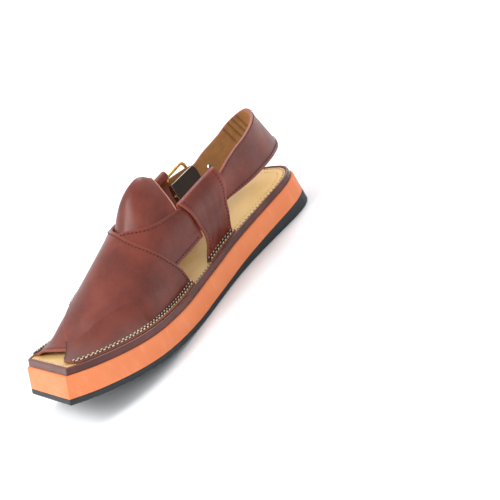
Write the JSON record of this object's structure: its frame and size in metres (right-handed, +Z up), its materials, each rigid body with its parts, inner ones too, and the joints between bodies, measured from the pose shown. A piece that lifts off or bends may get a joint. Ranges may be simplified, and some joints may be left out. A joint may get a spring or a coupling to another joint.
{
  "type": "peshawari chappal",
  "caption": "Leather sandal for the right foot with a crossed vamp, side straps, a buckled heel strap, a padded tongue and a thick layered sole.",
  "frame": {"origin": "under the middle of the shoe's box, on the floor that the tread stands on", "axes": "+X towards the heel (the toe points to -X), +Y towards the outer side of the foot, +Z up"},
  "size_m": [0.3004, 0.1034, 0.1019],
  "materials": {
    "outsole": "matt black rubber with a fine tread",
    "midsole": "light tan cellular rubber, satin",
    "welt": "dark brown leather, waxed edge",
    "insole": "tan leather, smooth and dry",
    "upper": "red-brown leather, fine grain with a soft shine",
    "tongue": "red-brown leather, padded",
    "side_strap_inner": "red-brown leather, folded over at the top",
    "side_strap_outer": "red-brown leather, folded over at the top",
    "heel_strap": "red-brown leather with a tan lining",
    "strap_pad": "dark brown leather",
    "buckle_tab_upper": "red-brown leather",
    "buckle_tab_lower": "red-brown leather",
    "buckle_frame": "polished brass wire",
    "buckle_prong": "polished brass wire"
  },
  "bodies": {
    "root": {"outsole": "outsole", "midsole": "midsole", "welt": "welt", "insole": "insole", "upper": "upper", "tongue": "tongue", "side_strap_inner": "side_strap_inner", "side_strap_outer": "side_strap_outer", "heel_strap": "heel_strap", "strap_pad": "strap_pad", "buckle_tab_upper": "buckle_tab_upper", "buckle_tab_lower": "buckle_tab_lower", "buckle_frame": "buckle_frame", "buckle_prong": "buckle_prong"}
  },
  "joints": []
}
